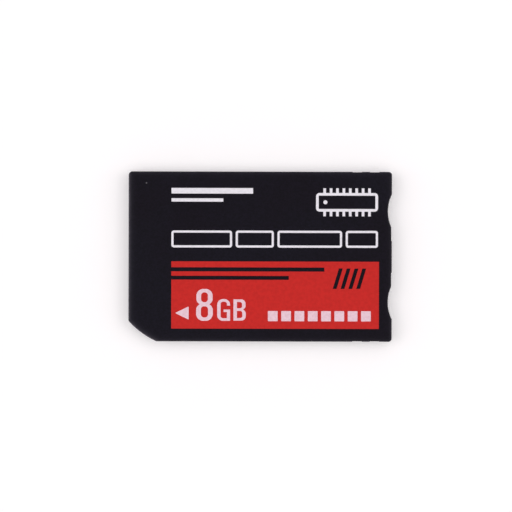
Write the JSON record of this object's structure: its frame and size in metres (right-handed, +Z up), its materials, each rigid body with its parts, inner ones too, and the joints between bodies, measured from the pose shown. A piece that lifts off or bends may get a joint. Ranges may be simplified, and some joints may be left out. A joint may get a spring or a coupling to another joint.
{
  "type": "memory card",
  "caption": "Slim black flash memory card with a keyed corner, a notched rear edge, a red printed field and a row of plated contacts in open windows underneath; slides into a reader slot.",
  "frame": {"origin": "middle of the underside, with the card lying on its back, printed side up", "axes": "+X along the card from the insertion edge to the rear edge, +Y across it, +Z up out of the printed side"},
  "size_m": [0.031, 0.02, 0.0016],
  "materials": {
    "case_plastic": "fine moulded grain",
    "red_ink": "satin ink",
    "white_ink": "satin ink",
    "board": "solder mask",
    "contact_plating": "gold plating, lightly scratched",
    "chip_moulding": "moulded epoxy",
    "capacitor_ceramic": "fired ceramic",
    "resistor_film": "glazed film"
  },
  "bodies": {
    "root": {"top_cover": "case_plastic", "bottom_cover": "case_plastic", "red_print": "red_ink", "circuit_board": "board", "flash_chip": "chip_moulding", "controller_chip": "chip_moulding", "contact_01": "contact_plating", "contact_02": "contact_plating", "contact_03": "contact_plating", "contact_04": "contact_plating", "contact_05": "contact_plating", "contact_06": "contact_plating", "contact_07": "contact_plating", "contact_08": "contact_plating", "contact_09": "contact_plating", "contact_10": "contact_plating", "capacitor_1": "capacitor_ceramic", "capacitor_2": "capacitor_ceramic", "capacitor_3": "capacitor_ceramic", "capacitor_4": "capacitor_ceramic", "capacitor_5": "capacitor_ceramic", "capacitor_6": "capacitor_ceramic", "resistor_1": "resistor_film", "resistor_2": "resistor_film", "resistor_3": "resistor_film", "resistor_4": "resistor_film"}
  },
  "joints": []
}
